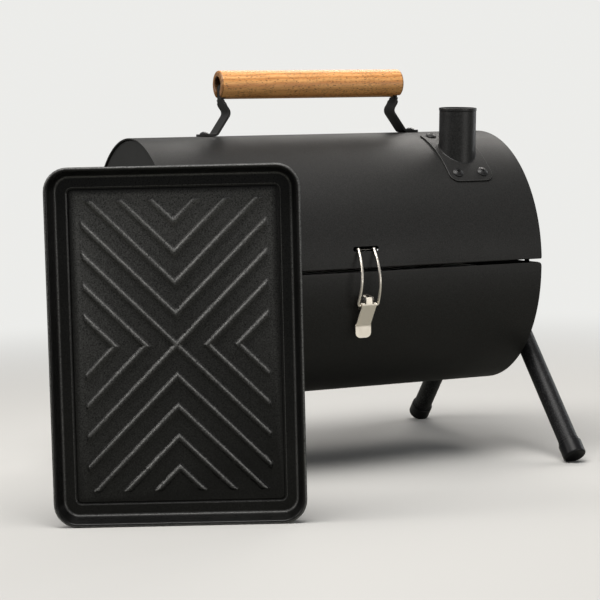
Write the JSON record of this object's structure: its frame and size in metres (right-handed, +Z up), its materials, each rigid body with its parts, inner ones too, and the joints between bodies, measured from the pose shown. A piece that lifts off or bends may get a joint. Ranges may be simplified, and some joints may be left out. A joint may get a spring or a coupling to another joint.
{
  "type": "portable charcoal grill",
  "caption": "Tabletop barrel grill with folding legs, hinged lid, draw latch, wooden handle, chimney, inner grates and a loose ribbed griddle plate.",
  "frame": {"origin": "on the table, straight below the middle of the barrel", "axes": "+X along the barrel towards the chimney, +Y to the back where the lid hinges, +Z up"},
  "size_m": [0.5421, 0.4597, 0.3841],
  "materials": {
    "powder_coat": "matte",
    "bare_steel": "satin",
    "black_fastener": "satin",
    "beech_wood": "satin",
    "nickel_plate": "satin",
    "leg_enamel": "satin",
    "black_plastic": "satin",
    "grate_wire": "satin",
    "nonstick_coat": "satin"
  },
  "bodies": {
    "base": {"base_shell": "powder_coat", "base_end_left": "powder_coat", "base_end_right": "powder_coat", "hinge_base_leaf_left": "powder_coat", "hinge_base_leaf_right": "powder_coat", "hinge_pin_left": "bare_steel", "hinge_pin_right": "bare_steel", "hinge_base_rivets": "black_fastener", "latch_bracket": "nickel_plate", "latch_rivets": "nickel_plate", "latch_pin": "bare_steel", "leg_bolts": "black_fastener", "leg_spacers": "bare_steel", "leg_nuts": "bare_steel", "grate_rail_left": "powder_coat", "grate_rail_right": "powder_coat", "coal_rail_left": "powder_coat", "coal_rail_right": "powder_coat"},
    "lid": {"lid_shell": "powder_coat", "lid_end_left": "powder_coat", "lid_end_right": "powder_coat", "hinge_lid_leaf_left": "powder_coat", "hinge_lid_leaf_right": "powder_coat", "hinge_lid_rivets": "black_fastener", "chimney_tube": "powder_coat", "chimney_plate": "powder_coat", "chimney_screws": "black_fastener", "chimney_nuts": "bare_steel", "handle_grip": "beech_wood", "handle_strap": "powder_coat", "handle_screws": "black_fastener", "handle_nuts": "bare_steel"},
    "latch_lever": {"latch_lever": "nickel_plate"},
    "latch_bail": {"latch_bail": "nickel_plate"},
    "leg_front_left": {"leg_tube_front_left": "leg_enamel", "foot_cap_front_left": "black_plastic"},
    "leg_front_right": {"leg_tube_front_right": "leg_enamel", "foot_cap_front_right": "black_plastic"},
    "leg_back_left": {"leg_tube_back_left": "leg_enamel", "foot_cap_back_left": "black_plastic"},
    "leg_back_right": {"leg_tube_back_right": "leg_enamel", "foot_cap_back_right": "black_plastic"},
    "cooking_grate": {"cooking_grate": "grate_wire"},
    "charcoal_grate": {"charcoal_grate": "grate_wire"},
    "griddle": {"griddle_plate": "nonstick_coat"}
  },
  "joints": [
    {"name": "lid_hinge", "type": "hinge", "parent": "base", "child": "lid", "pos_m": [0, 0.1291, 0.194], "axis": [-1, 0, 0], "range_deg": [0, 180]},
    {"name": "latch_lever_pivot", "type": "hinge", "parent": "base", "child": "latch_lever", "pos_m": [-0.0031, -0.13256, 0.16682], "axis": [-1, 0, 0], "range_deg": [0, 140]},
    {"name": "latch_bail_pivot", "type": "hinge", "parent": "latch_lever", "child": "latch_bail", "pos_m": [-0.0031, -0.13186, 0.16182], "axis": [-1, 0, 0], "range_deg": [-175, 0]},
    {"name": "leg_fold_front_left", "type": "hinge", "parent": "base", "child": "leg_front_left", "pos_m": [-0.1997, -0.04855, 0.13815], "axis": [-1, 0, 0], "range_deg": [0, 140]},
    {"name": "leg_fold_front_right", "type": "hinge", "parent": "base", "child": "leg_front_right", "pos_m": [0.1997, -0.04855, 0.13815], "axis": [-1, 0, 0], "range_deg": [0, 140]},
    {"name": "leg_fold_back_left", "type": "hinge", "parent": "base", "child": "leg_back_left", "pos_m": [-0.1997, 0.04855, 0.13815], "axis": [1, 0, 0], "range_deg": [0, 140]},
    {"name": "leg_fold_back_right", "type": "hinge", "parent": "base", "child": "leg_back_right", "pos_m": [0.1997, 0.04855, 0.13815], "axis": [1, 0, 0], "range_deg": [0, 140]},
    {"name": "cooking_grate_lift", "type": "slide", "parent": "base", "child": "cooking_grate", "axis": [0, 0, 1], "range_m": [0, 0.03]},
    {"name": "charcoal_grate_lift", "type": "slide", "parent": "base", "child": "charcoal_grate", "axis": [0, 0, 1], "range_m": [0, 0.04]},
    {"name": "griddle_lift", "type": "slide", "parent": "base", "child": "griddle", "axis": [0, 0, 1], "range_m": [0, 0.3]}
  ],
  "couplings": [
    {"joint": "latch_bail_pivot", "follows": "latch_lever_pivot", "ratio": -1.25}
  ]
}
